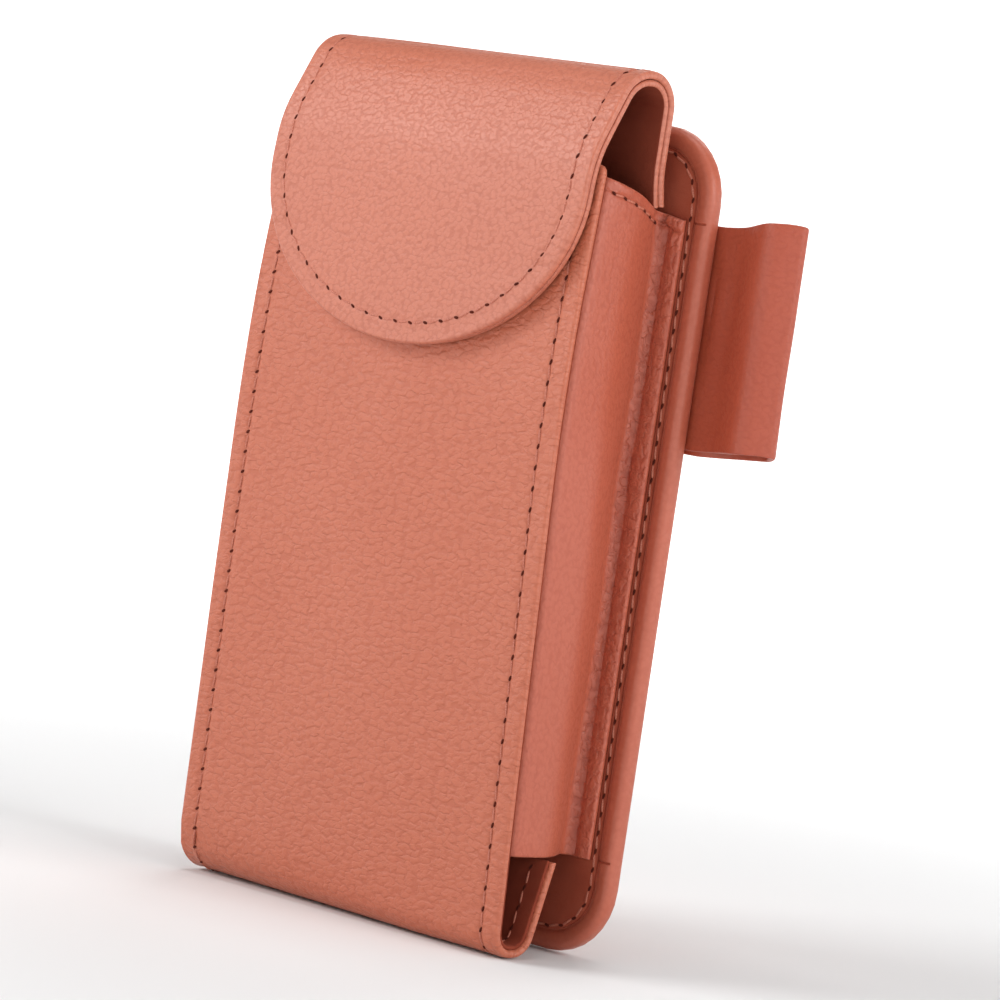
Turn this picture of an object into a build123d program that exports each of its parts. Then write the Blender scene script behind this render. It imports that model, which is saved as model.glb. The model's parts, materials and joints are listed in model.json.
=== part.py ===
from build123d import *
import math
import os

# Leather flap pouch. X is across the front, Y goes to the back, Z is up, in millimetres.
# The origin is on the ground, at the middle of the back panel's foot.

# Back panel
panel_width = 100.0
panel_height = 160.0
panel_corner = 14.0
board_thick = 1.6
back_leather_thick = 1.0
welt_width = 4.2
welt_proud = 0.2
welt_round = 1.5

# Threads, sunk flush in their grooves
thread_width = 0.8
thread_depth = 0.4
thread_end_gap = 2.0

# Front strap: the front panel, the U-bend under it and the riser to the back panel
pouch_depth = 26.2
strap_side_gap = 6.0
strap_taper = 2.0
strap_top_gap = 9.4
apex_drop = 42.6
bow_radius = 400.0
top_lean = 3.5
foot_lean = 3.2
strap_leather = 1.2
strap_lining = 1.2
front_board_thick = 0.6
seam_margin = 4.3
bend_depth = 9.7
bend_radius = 5.0
riser_top = 57.0
riser_tail = 13.0
riser_round = 20.0
neck_gap = 2.9
neck_drop = 1.0

# Bellows gussets
gusset_foot = 19.3
gusset_top_drop = 2.2
gusset_slope_drop = 5.9
gusset_leather = 1.2
gusset_lining = 0.6
gusset_inset = 0.7
gusset_front_flange = 6.5
gusset_bulge = 1.0
gusset_bulge_depth = 10.4
gusset_glue = 0.12
gusset_steps = 4
gusset_side_round = 2.2
gusset_bulge_round = 12.0
gusset_fold_round = 1.6
gusset_back_flange = 5.4
gusset_edge_gap = 1.0
hem_margin = 2.4
hem_end_gap = 3.0

# Flap and the rear strap that carries it
flap_leather = 1.6
flap_lining = 1.4
flap_board_thick = 0.6
flap_gap = 0.6
flap_tip_drop = 48.6
flap_round_height = 33.0
flap_seam_margin = 4.0
flap_rise = 9.4
arch_rear = 4.5
arch_roof = 12.7
arch_rear_radius = 7.0
arch_roof_radius = 9.0
arch_brow_drop = 16.4
arch_brow_radius = 14.0
arch_seam_end = 6.0
flap_tail = 10.0
rear_strap_length = 63.4
rear_strap_flat = 24.0
rear_strap_lead = 20.0
rear_strap_radius = 20.0
rear_neck_gap = 3.2
hinge_angle = 16.0
flap_opens = 150.0
fold_gap = 0.4

# Hidden boards, magnet and keeper
keeper_radius = 8.0
magnet_radius = 7.0
magnet_rise = 14.6
board_margin = 6.0
board_foot_gap = 9.0
flap_board_drop = 12.0

# Side loop
loop_tall = 44.0
loop_top_drop = 16.5
loop_root_gap = 1.0
loop_reach = 19.0
loop_skin = 1.3
loop_front_bulge = 2.4
loop_back_bulge = 6.4
loop_flange = 8.0
loop_seam_margin = 2.5
loop_tilt = 5.5

# Belt loop on the back
belt_width = 44.0
belt_top_drop = 20.0
belt_tab = 11.0
belt_open = 58.0
belt_gap = 6.4
belt_ramp = 2.0
belt_leather = 1.2
belt_lining = 0.8
belt_bend = 3.5
belt_end_seam = 3.0
belt_inner_seam = 4.0
belt_side_gap = 3.0

# Places worked out from the sizes above
strap_top = panel_height - strap_top_gap
strap_half_foot = panel_width / 2 - strap_side_gap
strap_half_top = strap_half_foot - strap_taper
apex_z = strap_top - apex_drop
gusset_flange_edge = panel_width / 2 - welt_width - gusset_edge_gap
gusset_fold = gusset_flange_edge - gusset_back_flange
gusset_top_front = strap_top - gusset_top_drop
gusset_top_back = gusset_top_front - gusset_slope_drop
gusset_bends = [gusset_side_round, gusset_bulge_round, gusset_fold_round]
riser_neck_half = gusset_fold - neck_gap
flap_half = strap_half_top
flap_peak = panel_height + flap_rise
flap_tip = panel_height - flap_tip_drop
arch_brow_z = flap_peak - arch_brow_drop
rear_strap_foot = flap_peak - rear_strap_length
rear_strap_leave = rear_strap_foot + rear_strap_flat
rear_strap_meet = rear_strap_leave + rear_strap_lead
magnet_z = flap_tip + magnet_rise
loop_foot = panel_height - loop_top_drop - loop_tall
belt_foot = panel_height - belt_top_drop - 2 * belt_tab - belt_open
panel_face = board_thick / 2 + back_leather_thick
front_y = -panel_face - pouch_depth
strap_thick = strap_leather + strap_lining
flap_thick = flap_leather + flap_lining
arch_rear_y = -panel_face - arch_rear
arch_roof_y = arch_rear_y - arch_roof
arch_centre_y = arch_rear_y - arch_rear_radius
arch_centre_z = flap_peak - arch_rear_radius
hinge_radius = arch_rear_radius - flap_thick / 2
hinge_y = arch_centre_y + hinge_radius * math.cos(math.radians(hinge_angle))
hinge_z = arch_centre_z + hinge_radius * math.sin(math.radians(hinge_angle))
big = 4 * panel_height

os.makedirs("parts", exist_ok=True)


def save(name, shape):
    export_step(shape, f"parts/{name}.step")


def ways_of(points):
    return [(Vector(*b) - Vector(*a)).normalized() for a, b in zip(points, points[1:])]


def shifted(points, gap):
    # The path's corners moved to its left by gap, each on the mitre of its two runs.
    lefts = [Vector(-way.Y, way.X) for way in ways_of(points)]
    moved = [Vector(*points[0]) + lefts[0] * gap]
    for point, left, next_left in zip(points[1:], lefts, lefts[1:]):
        middle = (left + next_left).normalized()
        moved.append(Vector(*point) + middle * (gap / middle.dot(left)))
    moved.append(Vector(*points[-1]) + lefts[-1] * gap)
    return moved


def parallel(points, radii, gap):
    # The same path moved to its left by gap. Left-hand bends tighten and right-hand ones open.
    ways = ways_of(points)
    bends = []
    for way, next_way, radius in zip(ways, ways[1:], radii):
        turns_left = way.cross(next_way).Z > 0
        bends.append(radius - gap if turns_left else radius + gap)
    return FilletPolyline(*shifted(points, gap), radius=bends)


def band(points, radii, near, far):
    # The closed outline between two parallels of one path.
    a = parallel(points, radii, near)
    b = parallel(points, radii, far)
    return make_face([*a.edges(), Line(a @ 1, b @ 1), *b.edges(), Line(b @ 0, a @ 0)])


def across(face, half):
    # A side view, drawn in Y and Z, carried across the width.
    return extrude(Plane.YZ * face, amount=half, both=True)


def through(face):
    # A front view, drawn in X and Z, carried right through the depth.
    return extrude(Plane.XZ * face, amount=big, both=True)


def block(low, high):
    size = [b - a for a, b in zip(low, high)]
    return Pos(*low) * Box(*size, align=(Align.MIN, Align.MIN, Align.MIN))


def strap_half(z):
    return strap_half_foot + (strap_half_top - strap_half_foot) * z / strap_top


def tapered(inset):
    # Front view of the strap, drawn in by inset on both sides.
    top, foot = strap_half_top - inset, strap_half_foot - inset
    lean = (top - foot) / strap_top
    low, high = -panel_height, 2 * panel_height
    wide, narrow = foot + lean * low, foot + lean * high
    return make_face(Polyline((-wide, low), (wide, low), (narrow, high), (-narrow, high), close=True))


def panel_ring(outer_inset, inner_inset):
    # Front view of a ring round the back panel, between two insets from its edge.
    def outline(inset):
        corner = panel_corner - inset
        wide = panel_width - 2 * inset
        tall = panel_height - 2 * inset
        return Pos(0, panel_height / 2) * RectangleRounded(wide, tall, corner)

    if inner_inset is None:
        return outline(outer_inset)
    return outline(outer_inset) - outline(inner_inset)


def slab(face, low_y, high_y):
    # A front view given a thickness between two places in Y.
    return extrude(Pos(0, high_y, 0) * (Plane.XZ * face), amount=high_y - low_y)


def flap_outline(inset):
    # Front view of the flap: straight sides and a half-ellipse tip, drawn in by inset.
    half = flap_half - inset
    tall = flap_round_height - inset
    centre = flap_tip + flap_round_height
    tip = Pos(0, centre) * Ellipse(half, tall)
    sides = Pos(0, centre + panel_height / 2) * Rectangle(2 * half, panel_height)
    return tip + sides


def on_line(start, end, z):
    # The place in Y at height z on the line through two points.
    share = (z - start.Y) / (end.Y - start.Y)
    return start.X + (end.X - start.X) * share


foot_y = front_y + foot_lean
strap_path = [
    (front_y + top_lean, strap_top),
    (front_y, apex_z),
    (foot_y, 0),
    (foot_y + bend_depth, 0),
    (-panel_face, riser_top),
    (-panel_face, riser_top + riser_tail),
]
strap_bends = [bow_radius, bend_radius, bend_radius, riser_round]
riser_from_y = front_y + bend_depth
bow_turn = ways_of(strap_path)[0].get_angle(ways_of(strap_path)[1])
bow_reach = bow_radius * math.tan(math.radians(bow_turn / 2))
bow_low, bow_high = apex_z - bow_reach, apex_z + bow_reach


def strap_inside(z):
    # The place in Y of the strap's inner face at height z, on the bowed front panel.
    top, apex, foot = shifted(strap_path[:4], strap_thick)[:3]
    if z >= bow_high:
        return on_line(apex, top, z)
    if z <= bow_low:
        return on_line(foot, apex, z)
    radius = bow_radius - strap_thick
    way = ways_of(strap_path)[0]
    start = apex - way * (bow_radius - strap_thick) * math.tan(math.radians(bow_turn / 2))
    centre = start + Vector(-way.Y, way.X) * radius
    return centre.X - math.sqrt(radius**2 - (z - centre.Y) ** 2)


flap_front = shifted(strap_path[:4], -flap_gap - flap_thick)
flap_brow_y = on_line(flap_front[1], flap_front[0], arch_brow_z)
flap_end_z = bow_low - flap_tail

flap_path = [
    (-panel_face, rear_strap_foot),
    (-panel_face, rear_strap_leave),
    (arch_rear_y, rear_strap_meet),
    (arch_rear_y, flap_peak),
    (arch_roof_y, flap_peak),
    (flap_brow_y, arch_brow_z),
    (flap_front[1].X, flap_front[1].Y),
    (on_line(flap_front[1], flap_front[2], flap_end_z), flap_end_z),
]
flap_bends = [
    rear_strap_radius,
    rear_strap_radius,
    arch_rear_radius,
    arch_roof_radius,
    arch_brow_radius,
    bow_radius + flap_gap + flap_thick,
]


# Front strap
# The riser is cut narrower above the gussets' foot, where it stands between the bellows.
neck_start = gusset_foot - neck_drop
riser_line = block((-big, riser_from_y, neck_start), (big, big, big))
neck_room = block((-riser_neck_half, -big, neck_start), (riser_neck_half, big, big))


def strap_layer(near, far):
    layer = across(band(strap_path, strap_bends, near, far), big / 2) & through(tapered(0))
    return layer - (riser_line - neck_room)


board_low, board_high = bend_radius + board_foot_gap, strap_top - board_margin
board_face = tapered(board_margin) & (
    Pos(0, (board_low + board_high) / 2) * Rectangle(big, board_high - board_low)
)
board_band = band(strap_path, strap_bends, strap_leather, strap_leather + front_board_thick)
board_room = block((-big, -big, 0), (big, riser_from_y, big))
front_board_full = across(board_band, big / 2) & through(board_face) & board_room
keeper_disc = front_board_full & through(Pos(0, magnet_z) * Circle(keeper_radius))


def front_thread(side):
    # A thread sunk in the strap's outer face, in from its edge by the seam margin.
    row = tapered(seam_margin - thread_width / 2) - tapered(seam_margin + thread_width / 2)
    row = through(row) & block((min(0, side * big), -big, -big), (max(0, side * big), big, big))
    skin = across(band(strap_path, strap_bends, 0, thread_depth), big / 2)
    keep = block((-big, -big, -big), (big, foot_y + 1.6 * bend_depth, strap_top - thread_end_gap))
    below = block((-big, riser_from_y, neck_start - thread_end_gap), (big, big, big))
    return (skin & row & keep) - below


front_threads = {"right": front_thread(1), "left": front_thread(-1)}
front_leather = strap_layer(0, strap_leather)
for thread in front_threads.values():
    front_leather -= thread
save("front_leather", front_leather)
save("front_lining", strap_layer(strap_leather, strap_thick) - front_board_full)
save("front_board", front_board_full - keeper_disc)
save("keeper_disc", keeper_disc)
for side_name, thread in front_threads.items():
    save(f"front_stitching_{side_name}", thread)


# Back panel
inner_face = panel_ring(welt_width, None)
seam_ring = panel_ring(welt_width, welt_width + thread_width)
back_board = slab(inner_face, -board_thick / 2, board_thick / 2)
inner_thread = slab(seam_ring, -panel_face, -panel_face + thread_depth)
outer_thread = slab(seam_ring, panel_face - thread_depth, panel_face)
welt_half = panel_face + welt_proud
welt = slab(panel_ring(0, welt_width), -welt_half, welt_half)
outer_rim = welt.faces().sort_by(Axis.Y)
rim_edges = outer_rim[0].outer_wire().edges() + outer_rim[-1].outer_wire().edges()
welt = fillet(rim_edges, welt_round)
save("back_board", back_board)
save("back_inner_leather", slab(inner_face, -panel_face, -board_thick / 2) - inner_thread)
save("back_outer_leather", slab(inner_face, board_thick / 2, panel_face) - outer_thread)
save("back_welt", welt)
save("back_inner_stitching", inner_thread)
save("back_outer_stitching", outer_thread)


# Bellows gussets
def gusset_outline(z, near, far):
    # Plan view of one bellows at height z: front flange, bulging side, fold, back flange.
    side = strap_half(z) - gusset_inset
    front = strap_inside(z) + gusset_glue
    flange_y = -panel_face - gusset_leather - gusset_lining
    path = [
        (side - gusset_front_flange, front),
        (side, front),
        (side + gusset_bulge, front + gusset_bulge_depth),
        (gusset_fold, flange_y),
        (gusset_flange_edge, flange_y),
    ]
    return Pos(0, 0, z) * band(path, gusset_bends, near, far)


def gusset_layer(near, far):
    step = (bow_high - bow_low) / gusset_steps
    heights = [bow_low + i * step for i in range(gusset_steps + 1)]
    heights = [gusset_foot, *heights, gusset_top_front + gusset_slope_drop]
    whole = loft([gusset_outline(z, near, far) for z in heights], ruled=True)
    return whole & hem_cut(0, 0)


def hem_cut(drop, floor):
    # Side view below the sloping top edge, lowered by drop.
    front_end = strap_inside(gusset_top_front)
    slope = (gusset_top_back - gusset_top_front) / (-panel_face - front_end)
    low_y, high_y = front_end - pouch_depth, -panel_face + pouch_depth
    low_z = gusset_top_front - drop - slope * pouch_depth
    high_z = gusset_top_back - drop + slope * pouch_depth
    outline = Polyline((low_y, floor), (high_y, floor), (high_y, high_z), (low_y, low_z), close=True)
    return across(make_face(outline), big / 2)


hem_row = hem_cut(hem_margin - thread_width / 2, 0) - hem_cut(hem_margin + thread_width / 2, 0)
hem_front_end = strap_inside(gusset_top_front) + hem_end_gap
hem_room = block((-big, hem_front_end, 0), (big, -panel_face - hem_end_gap, big))
gusset_thread = gusset_layer(0, thread_depth) & hem_row & hem_room
gusset_outer = gusset_layer(0, gusset_leather) - gusset_thread
gusset_inner = gusset_layer(gusset_leather, gusset_leather + gusset_lining)
for side_name, place in {"right": None, "left": Plane.YZ}.items():
    for name, shape in {
        f"gusset_{side_name}": gusset_outer,
        f"gusset_lining_{side_name}": gusset_inner,
        f"gusset_stitching_{side_name}": gusset_thread,
    }.items():
        save(name, shape if place is None else mirror(shape, about=place))


# Flap and rear strap
# The flap ends in a half-round bead on the hinge line. The rear strap's top is cut back from the
# bead and from where the arch comes down when the flap is fully open.
rear_room = block((-big, arch_centre_y, 0), (big, big, hinge_z))


def rod(y, z, radius):
    return across(Pos(y, z) * Circle(radius), flap_half)


def flap_layer(near, far):
    whole = across(band(flap_path, flap_bends, near, far), big / 2)
    return (whole & through(flap_outline(0))) - rear_room


def rear_layer(near, far):
    # Full width above the bellows, and cut narrower where it stands between them.
    layer = across(band(flap_path, flap_bends, near, far), flap_half) & rear_room
    layer -= block((-big, -big, 0), (big, big, rear_neck_z)) - rear_neck
    return layer - rod(hinge_y, hinge_z, flap_thick / 2 + fold_gap) - open_arch


swing = math.radians(flap_opens)
reach_y, reach_z = arch_centre_y - hinge_y, arch_centre_z - hinge_z
open_y = hinge_y + reach_y * math.cos(swing) + reach_z * math.sin(swing)
open_z = hinge_z - reach_y * math.sin(swing) + reach_z * math.cos(swing)
open_arch = across(Pos(open_y, open_z) * Circle(arch_rear_radius + fold_gap), big / 2)
bead = rod(hinge_y, hinge_z, flap_thick / 2) & rear_room


rear_neck_z = gusset_top_back + rear_neck_gap
rear_neck = block((-riser_neck_half, -big, 0), (riser_neck_half, big, rear_neck_z))
flap_seam = flap_outline(flap_seam_margin - thread_width / 2) - flap_outline(
    flap_seam_margin + thread_width / 2
)
flap_thread = (flap_layer(0, thread_depth) & through(flap_seam)) - block(
    (-big, arch_roof_y + arch_seam_end, 0), (big, big, big)
)
flap_board_top = arch_brow_z - flap_board_drop
flap_board_face = flap_outline(board_margin) & (
    Pos(0, flap_board_top - panel_height / 2) * Rectangle(big, panel_height)
)
flap_board_full = flap_layer(flap_leather, flap_leather + flap_board_thick) & through(flap_board_face)
magnet = flap_board_full & through(Pos(0, magnet_z) * Circle(magnet_radius))
save("flap_leather", flap_layer(0, flap_leather) + bead - flap_thread)
save("flap_lining", flap_layer(flap_leather, flap_thick) - flap_board_full)
save("flap_board", flap_board_full - magnet)
save("flap_magnet", magnet)
save("flap_stitching", flap_thread)

rear_row = block(
    (-riser_neck_half + seam_margin, -big, rear_strap_foot + seam_margin),
    (riser_neck_half - seam_margin, big, rear_strap_foot + seam_margin + thread_width),
)
rear_thread = rear_layer(flap_thick - thread_depth, flap_thick) & rear_row
save("rear_strap_leather", rear_layer(0, flap_leather))
save("rear_strap_lining", rear_layer(flap_leather, flap_thick) - rear_thread)
save("rear_strap_stitching", rear_thread)


# Side loop
# A flattened sleeve with a sharp outer fold, and two tails closed together behind the panel.
loop_root = panel_width / 2 + loop_root_gap
loop_tip = panel_width / 2 + loop_reach
loop_middle = (loop_root + loop_tip) / 2
loop_y = welt_half + loop_skin
front_curve = ThreePointArc(
    (loop_root, loop_y - loop_skin), (loop_middle, loop_y - loop_front_bulge), (loop_tip, loop_y)
)
back_curve = ThreePointArc(
    (loop_tip, loop_y), (loop_middle, loop_y + loop_back_bulge), (loop_root, loop_y + loop_skin)
)
loop_root_line = Line(front_curve @ 0, back_curve @ 1)
sleeve = make_face([front_curve, back_curve, loop_root_line])
slot = offset(sleeve, -loop_skin, kind=Kind.INTERSECTION)
tails = Pos(loop_root - loop_flange / 2, loop_y) * Rectangle(loop_flange, 2 * loop_skin)
loop_profile = (sleeve + tails) - slot
side_loop = Pos(0, 0, loop_foot) * extrude(loop_profile, amount=loop_tall)
loop_row_x = loop_root - loop_flange + loop_seam_margin
loop_thread = Pos(loop_row_x, loop_y + loop_skin - thread_depth / 2, loop_foot + loop_tall / 2) * Box(
    thread_width, thread_depth, loop_tall - 2 * thread_end_gap
)
loop_pivot = (panel_width / 2, 0, loop_foot + loop_tall / 2)
tilt = Pos(*loop_pivot) * Rot(0, -loop_tilt, 0) * Pos(*[-value for value in loop_pivot])
save("side_loop", tilt * (side_loop - loop_thread))
save("side_loop_stitching", tilt * loop_thread)


# Belt loop
belt_out = panel_face + belt_gap + belt_leather + belt_lining
belt_top = belt_foot + 2 * belt_tab + belt_open
belt_path = [
    (panel_face, belt_foot),
    (panel_face, belt_foot + belt_tab),
    (panel_face + belt_gap, belt_foot + belt_tab + belt_ramp),
    (panel_face + belt_gap, belt_top - belt_tab - belt_ramp),
    (panel_face, belt_top - belt_tab),
    (panel_face, belt_top),
]
belt_bends = [belt_bend] * 4


def belt_layer(near, far):
    # The path runs upwards, so its right is the outside and gaps are negative.
    return across(band(belt_path, belt_bends, -near, -far), belt_width / 2)


belt_thick = belt_lining + belt_leather
belt_rows = []
lower_rows = [belt_foot + belt_end_seam, belt_foot + belt_tab - belt_inner_seam]
upper_rows = [belt_top - belt_tab + belt_inner_seam, belt_top - belt_end_seam]
for row_z in lower_rows + upper_rows:
    belt_rows.append(
        Pos(0, panel_face + belt_thick - thread_depth / 2, row_z)
        * Box(belt_width - 2 * belt_side_gap, thread_depth, thread_width)
    )
belt_outer = belt_layer(belt_lining, belt_thick)
for row in belt_rows:
    belt_outer -= row
save("belt_loop", belt_outer)
save("belt_loop_lining", belt_layer(0, belt_lining))
save("belt_loop_stitching", Compound(children=belt_rows))
print("hinge", round(hinge_y, 3), round(hinge_z, 3))
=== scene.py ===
import json
import math

import bpy
from mathutils import Matrix, Vector, noise


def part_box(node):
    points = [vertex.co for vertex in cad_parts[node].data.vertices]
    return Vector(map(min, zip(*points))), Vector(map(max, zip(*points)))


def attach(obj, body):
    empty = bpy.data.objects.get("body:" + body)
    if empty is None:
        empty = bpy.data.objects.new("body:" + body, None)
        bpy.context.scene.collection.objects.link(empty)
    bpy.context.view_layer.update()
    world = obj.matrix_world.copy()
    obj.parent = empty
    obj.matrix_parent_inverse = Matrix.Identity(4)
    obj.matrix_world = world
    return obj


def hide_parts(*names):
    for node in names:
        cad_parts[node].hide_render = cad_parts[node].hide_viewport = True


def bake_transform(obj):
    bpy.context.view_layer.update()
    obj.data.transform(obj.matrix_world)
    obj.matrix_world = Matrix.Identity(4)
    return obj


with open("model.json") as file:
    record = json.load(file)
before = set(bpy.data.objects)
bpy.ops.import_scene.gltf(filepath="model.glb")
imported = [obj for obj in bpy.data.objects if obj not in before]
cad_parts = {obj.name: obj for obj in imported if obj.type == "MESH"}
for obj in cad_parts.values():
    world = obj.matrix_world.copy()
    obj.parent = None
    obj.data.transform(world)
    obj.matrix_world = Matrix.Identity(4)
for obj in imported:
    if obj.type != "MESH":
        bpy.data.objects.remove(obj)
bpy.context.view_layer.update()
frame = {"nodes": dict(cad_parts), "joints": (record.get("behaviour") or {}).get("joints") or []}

mm = 0.001
bpy.context.scene.view_settings.view_transform = "Standard"


# Leather work: each piece is cut flat, folded along its line and sewn.

class FoldLine:
    # Straight runs joined by arcs, in millimetres. at() walks along it and sinks to its left.
    def __init__(self, corners, radii):
        corners = [Vector(corner) for corner in corners]
        ways = [(b - a).normalized() for a, b in zip(corners, corners[1:])]
        self.runs = []
        here = corners[0]
        for i, radius in enumerate(radii):
            turn = ways[i].angle_signed(ways[i + 1]) * -1
            cut = radius * math.tan(abs(turn) / 2)
            end = corners[i + 1] - ways[i] * cut
            self.runs.append((here, ways[i], (end - here).length, 0.0))
            self.runs.append((end, ways[i], radius * abs(turn), math.copysign(radius, turn)))
            here = corners[i + 1] + ways[i + 1] * cut
        self.runs.append((here, ways[-1], (corners[-1] - here).length, 0.0))
        self.length = sum(run[2] for run in self.runs)

    def at(self, along, sink=0.0):
        for start, way, length, radius in self.runs:
            if along <= length or start is self.runs[-1][0]:
                break
            along -= length
        left = Vector((-way.y, way.x))
        if radius == 0:
            return start + way * along + left * sink
        centre = start + left * radius
        turned = Matrix.Rotation(along / radius, 2) @ (start - centre)
        return centre + turned * ((abs(radius) - math.copysign(sink, radius)) / abs(radius))

    def stations(self, step, bendStep):
        # Where the flat piece needs a crease: sparse on the runs, close on the bends.
        places, base = [], 0.0
        for start, way, length, radius in self.runs:
            gap = step
            if radius:
                gap = min(step, max(abs(radius) * math.radians(bendStep), 0.15))
            count = max(1, math.ceil(length / gap))
            places += [base + length * i / count for i in range(count)]
            base += length
        return places[1:]

    def whereZ(self, height, after=0.0):
        # How far along the line first comes to a height, looking from after.
        along, before = after, self.at(after).y - height
        while along < self.length:
            along += 0.1
            now = self.at(along).y - height
            if now * before <= 0:
                return along
            before = now
        return self.length


def edit(piece, mode="FACE"):
    bpy.ops.object.select_all(action="DESELECT")
    piece.select_set(True)
    bpy.context.view_layer.objects.active = piece
    bpy.ops.object.mode_set(mode="EDIT")
    bpy.ops.mesh.select_mode(type=mode)
    bpy.ops.mesh.select_all(action="DESELECT")
    bpy.ops.object.mode_set(mode="OBJECT")


def workOn(piece):
    bpy.context.view_layer.objects.active = piece
    bpy.ops.object.mode_set(mode="EDIT")


def done():
    bpy.ops.object.mode_set(mode="OBJECT")


def rows(heights):
    return [((0, v), (0, 1)) for v in heights]


def columns(places):
    return [((x, 0), (1, 0)) for x in places]


def cutLeather(name, outline, thick, edge, seams=(), cuts=(), segments=3, both=False):
    # A flat piece with rounded edges. seams are insets on its face side: (width, rise) pairs.
    # cuts are straight lines across it, each a point and a normal, where it can bend.
    bpy.ops.object.select_all(action="DESELECT")
    bpy.ops.mesh.primitive_circle_add(vertices=len(outline), radius=0.05, fill_type="NGON")
    piece = bpy.context.object
    piece.name = piece.data.name = name
    for vertex, (x, v) in zip(piece.data.vertices, outline):
        vertex.co = (x * mm, v * mm, 0)
    workOn(piece)
    bpy.ops.mesh.select_all(action="SELECT")
    bpy.ops.mesh.extrude_region_move(TRANSFORM_OT_translate={"value": (0, 0, thick * mm)})
    bpy.ops.mesh.select_all(action="SELECT")
    bpy.ops.mesh.normals_make_consistent(inside=False)
    done()
    edit(piece, "EDGE")
    for e in piece.data.edges:
        a, b = (piece.data.vertices[i].co.z for i in e.vertices)
        e.select = abs(a - b) < 1e-7
    workOn(piece)
    bpy.ops.mesh.bevel(offset=edge * mm, segments=segments, affect="EDGES", clamp_overlap=False)
    done()
    if seams:
        edit(piece, "FACE")
        for way in (1, -1) if both else (1,):
            flat = (f for f in piece.data.polygons if f.normal.z * way > 0.99)
            max(flat, key=lambda f: f.area).select = True
        workOn(piece)
        for width, rise in seams:
            bpy.ops.mesh.inset(thickness=width * mm, depth=rise * mm)
        done()
    workOn(piece)
    for (x, v), normal in cuts:
        bpy.ops.mesh.select_all(action="SELECT")
        bpy.ops.mesh.bisect(plane_co=(x * mm, v * mm, 0), plane_no=(*normal, 0), threshold=1e-7)
    done()
    return piece


def keepPattern(piece):
    # The cutting pattern itself is the UV map, and the grain follows it through the cut attribute.
    layer = piece.data.uv_layers.new(name="pattern")
    for loop in piece.data.loops:
        place = piece.data.vertices[loop.vertex_index].co
        layer.data[loop.index].uv = (place.x, place.y)
    cut = piece.data.attributes.new("cut", "FLOAT_VECTOR", "POINT")
    for vertex in piece.data.vertices:
        cut.data[vertex.index].vector = vertex.co


def seamRelief(gap, margin, puff=0.14, groove=0.27):
    # How far the face rises at a distance in from its sewn edge: puffed border, groove, soft bank.
    border = puff * math.sin(math.pi * min(1.0, max(0.0, gap / margin)))
    bank = 0.5 * puff * math.exp(-(((gap - margin - 2.0) / 1.4) ** 2))
    return border + bank - groove * math.exp(-(((gap - margin) / 0.4) ** 2))


def seamLines(margin):
    # Where a seam needs cuts, as distances in from the edge.
    return [0.35 * margin, 0.65 * margin] + [margin + gap for gap in (-0.8, -0.35, 0, 0.35, 0.8, 2.0, 3.6)]


def fold(piece, place, thick, relief=None):
    # place() takes millimetres across, along and below the face, and gives a point in metres.
    keepPattern(piece)
    for vertex in piece.data.vertices:
        x, v, up = (value / mm for value in vertex.co)
        rise = relief(x, v) if relief and up > 0.6 * thick else 0.0
        vertex.co = place(x, v, thick - up - rise)
    finishMesh(piece)
    return piece


def finishMesh(piece, angle=40):
    edit(piece)
    workOn(piece)
    bpy.ops.mesh.select_all(action="SELECT")
    bpy.ops.mesh.remove_doubles(threshold=1e-7)
    bpy.ops.mesh.normals_make_consistent(inside=False)
    done()
    bpy.ops.object.shade_smooth_by_angle(angle=math.radians(angle))


def joined(name, parts):
    bpy.ops.object.select_all(action="DESELECT")
    for part in parts:
        part.select_set(True)
    bpy.context.view_layer.objects.active = parts[0]
    if len(parts) > 1:
        bpy.ops.object.join()
    parts[0].name = parts[0].data.name = name
    return parts[0]


thread = {"radius": 0.25, "reach": 3.2, "dip": 0.5, "proud": -0.04, "slant": 6.0}
hole = {"long": 0.62, "wide": 0.3, "deep": 0.14, "slant": 20.0}


def threadModel():
    # One stitch along X: a short cord whose two ends dive into their holes.
    bpy.ops.object.select_all(action="DESELECT")
    bpy.ops.mesh.primitive_cylinder_add(
        vertices=8, radius=thread["radius"] * mm, depth=thread["reach"] * mm, rotation=(0, math.pi / 2, 0)
    )
    model = bpy.context.object
    bpy.ops.object.transform_apply(location=False, rotation=True, scale=False)
    workOn(model)
    half = thread["reach"] / 2
    for share in (-0.86, -0.62, -0.3, 0, 0.3, 0.62, 0.86):
        bpy.ops.mesh.select_all(action="SELECT")
        bpy.ops.mesh.bisect(plane_co=(share * half * mm, 0, 0), plane_no=(1, 0, 0))
    done()
    for vertex in model.data.vertices:
        share = abs(vertex.co.x) / (half * mm)
        vertex.co.z += (thread["proud"] - thread["dip"] * share**4) * mm
        vertex.co.y *= 1 - 0.35 * share**3
    bpy.ops.object.shade_smooth()
    return model


def holeModel():
    # A dark flattened dot laid in the surface: painted shade standing for the inside of a needle hole.
    bpy.ops.object.select_all(action="DESELECT")
    bpy.ops.mesh.primitive_uv_sphere_add(segments=10, ring_count=6, radius=mm)
    model = bpy.context.object
    workOn(model)
    bpy.ops.mesh.select_all(action="SELECT")
    bpy.ops.transform.resize(value=(hole["long"], hole["wide"], hole["deep"]))
    bpy.ops.transform.rotate(
        value=math.radians(hole["slant"]), orient_axis="Z", center_override=(0, 0, 0)
    )
    done()
    bpy.ops.object.shade_smooth()
    return model


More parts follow.
